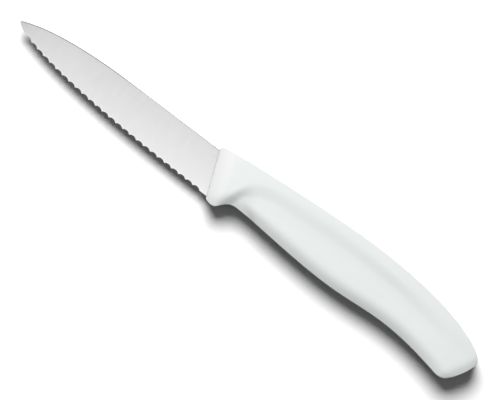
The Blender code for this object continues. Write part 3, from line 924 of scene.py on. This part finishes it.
def moulded_plastic(sizes):
    """White plastic with the fine satin texture of its mould."""
    material = bpy.data.materials.new("handle_plastic")
    nodes = Nodes(material)
    cloud = nodes.noise(PLASTIC_CLOUDS, 3.0)
    grain = nodes.noise(MOULD_GRAIN, 2.0)
    flow = nodes.noise(FLOW_MARKS, 1.0, FLOW_STRETCH)
    x = nodes.part(nodes.place(), "X")
    tone = nodes.blend(cloud, shade(sizes.colour, PLASTIC_DARK), shade(sizes.colour, PLASTIC_BRIGHT))
    # Painted highlight on the front slope: the colour turns whiter towards the joint
    front_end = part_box("handle")[0].x + FRONT_HIGHLIGHT_END
    front = ((front_end - x) / FRONT_HIGHLIGHT_FADE + (cloud - 0.5) * FRONT_HIGHLIGHT_CLOUDS).clipped()
    colour = nodes.blend(front, tone, tuple(sizes.front_highlight_colour))
    height = grain * GRAIN_HEIGHT + flow * FLOW_HEIGHT
    rough = sizes.roughness + (grain - 0.5) * GRAIN_ROUGHNESS + (cloud - 0.5) * CLOUD_ROUGHNESS
    bump = nodes.add("ShaderNodeBump", {}, {"Height": height, **MOULD_BUMP})
    shader = nodes.add("ShaderNodeBsdfPrincipled", {}, {
        "Base Color": colour, "Roughness": rough, "Normal": bump})
    nodes.add("ShaderNodeOutputMaterial", {}, {"Surface": shader})
    return material


# Studio

# Colour of the floor where it is seen, with which the lit floor comes out white
FLOOR_SEEN = (1.286, 1.286, 1.286, 1.0)
FLOOR_SIZE, FLOOR_DROP = 6.0, 0.00005
# Distances from the middle between which the lit floor runs out into plain white
PLAIN_START, PLAIN_END = 0.16, 0.35
PICTURE_MIDDLE = (0.00196, -0.00071)
SENSOR_WIDTH = 36.0


def seen_or_mirrored(nodes):
    """One for what is seen directly or in gloss or glass, none for light that a dull surface sent on."""
    camera, gloss, glass, dull = (
        nodes.add("ShaderNodeLightPath", output=name)
        for name in ("Is Camera Ray", "Is Glossy Ray", "Is Transmission Ray", "Diffuse Depth"))
    return (camera + gloss + glass - dull).clipped()


def floor_paint(settings):
    """Pale floor, white where it is seen but for the knife's shadow, that runs out into plain white."""
    material = bpy.data.materials.new("floor")
    nodes = Nodes(material)
    seen = seen_or_mirrored(nodes)
    near = nodes.add("ShaderNodeBsdfDiffuse", {}, {
        "Color": nodes.blend(seen, tuple(settings.floor_colour), FLOOR_SEEN)})
    far = nodes.add("ShaderNodeEmission", {}, {"Color": WHITE, "Strength": 1.0})
    reach = nodes.add("ShaderNodeVectorMath", {"operation": "LENGTH"}, {0: nodes.place()}, output="Value")
    outside = nodes.add("ShaderNodeMapRange", {"interpolation_type": "SMOOTHSTEP"}, {
        "Value": reach, "From Min": PLAIN_START, "From Max": PLAIN_END})
    surface = nodes.add("ShaderNodeMixShader", {}, {0: outside * seen, 1: near, 2: far})
    nodes.add("ShaderNodeOutputMaterial", {}, {"Surface": surface})
    return material


def light_room(settings):
    """Even light on all sides, white where it is seen or mirrored."""
    world = bpy.data.worlds.new("studio")
    bpy.context.scene.world = world
    nodes = Nodes(world)
    strength = settings.fill + seen_or_mirrored(nodes) * (1.0 - settings.fill)
    light = nodes.add("ShaderNodeBackground", {}, {"Color": WHITE, "Strength": strength})
    nodes.add("ShaderNodeOutputWorld", {}, {"Surface": light})


def add_key(settings):
    """Broad round light that shines on the middle from the top of the picture."""
    side, height = math.pi / 2 + settings.turn + settings.key_side, settings.key_height
    flat = settings.key_distance * math.cos(height)
    place = flat * math.cos(side), flat * math.sin(side), settings.key_distance * math.sin(height)
    bpy.ops.object.light_add(type="AREA", location=place,
                             rotation=(math.pi / 2 - height, 0.0, side + math.pi / 2))
    lamp = bpy.context.object
    lamp.name = lamp.data.name = "key"
    lamp.data.energy, lamp.data.shape, lamp.data.size = settings.key, "DISK", settings.key_width


def add_camera(settings):
    """Camera straight above the knife, turned about its view."""
    bpy.ops.object.camera_add(location=(*PICTURE_MIDDLE, settings.distance),
                              rotation=(0.0, 0.0, settings.turn))
    camera = bpy.context.object
    low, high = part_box("handle")
    camera.data.sensor_width = SENSOR_WIDTH
    camera.data.lens = SENSOR_WIDTH * (settings.distance - (low.z + high.z) / 2) / settings.width
    bpy.context.scene.camera = camera


class KNIFE_OT_add_studio(bpy.types.Operator):
    """Add the floor, the light and the camera"""
    bl_idname = "knife.add_studio"
    bl_label = "Add Studio"

    def execute(self, context):
        settings = context.scene.knife_studio
        bpy.ops.object.select_all(action="DESELECT")
        bpy.ops.mesh.primitive_plane_add(size=FLOOR_SIZE, location=(0.0, 0.0, -FLOOR_DROP))
        floor = context.object
        floor.name = "floor"
        floor.data.materials.append(floor_paint(settings))
        bpy.ops.object.transform_apply(location=True)
        light_room(settings)
        add_key(settings)
        add_camera(settings)
        context.scene.view_settings.view_transform = "Standard"
        return {"FINISHED"}


class KNIFE_PT_sidebar(bpy.types.Panel):
    """Pieces of the knife and its studio"""
    bl_idname = "KNIFE_PT_sidebar"
    bl_label = "Paring Knife"
    bl_space_type = "VIEW_3D"
    bl_region_type = "UI"
    bl_category = "Paring Knife"

    def draw(self, context):
        for settings, operator in ((context.scene.knife_blade, "knife.add_blade"),
                                   (context.scene.knife_handle, "knife.add_handle"),
                                   (context.scene.knife_studio, "knife.add_studio")):
            box = self.layout.box()
            for name in settings.__annotations__:
                box.prop(settings, name)
            box.operator(operator)


CLASSES = (BladeSizes, HandleSizes, StudioSettings, KNIFE_OT_add_blade, KNIFE_OT_add_handle,
           KNIFE_OT_add_studio, KNIFE_PT_sidebar)


def register():
    for kind in CLASSES:
        bpy.utils.register_class(kind)
    bpy.types.Scene.knife_blade = PointerProperty(type=BladeSizes)
    bpy.types.Scene.knife_handle = PointerProperty(type=HandleSizes)
    bpy.types.Scene.knife_studio = PointerProperty(type=StudioSettings)


def unregister():
    del bpy.types.Scene.knife_blade, bpy.types.Scene.knife_handle, bpy.types.Scene.knife_studio
    for kind in reversed(CLASSES):
        bpy.utils.unregister_class(kind)


def main():
    """Builds the knife and its studio."""
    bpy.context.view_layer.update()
    register()
    bpy.ops.knife.add_blade()
    bpy.ops.knife.add_handle()
    bpy.ops.knife.add_studio()


if __name__ == "__main__":
    main()
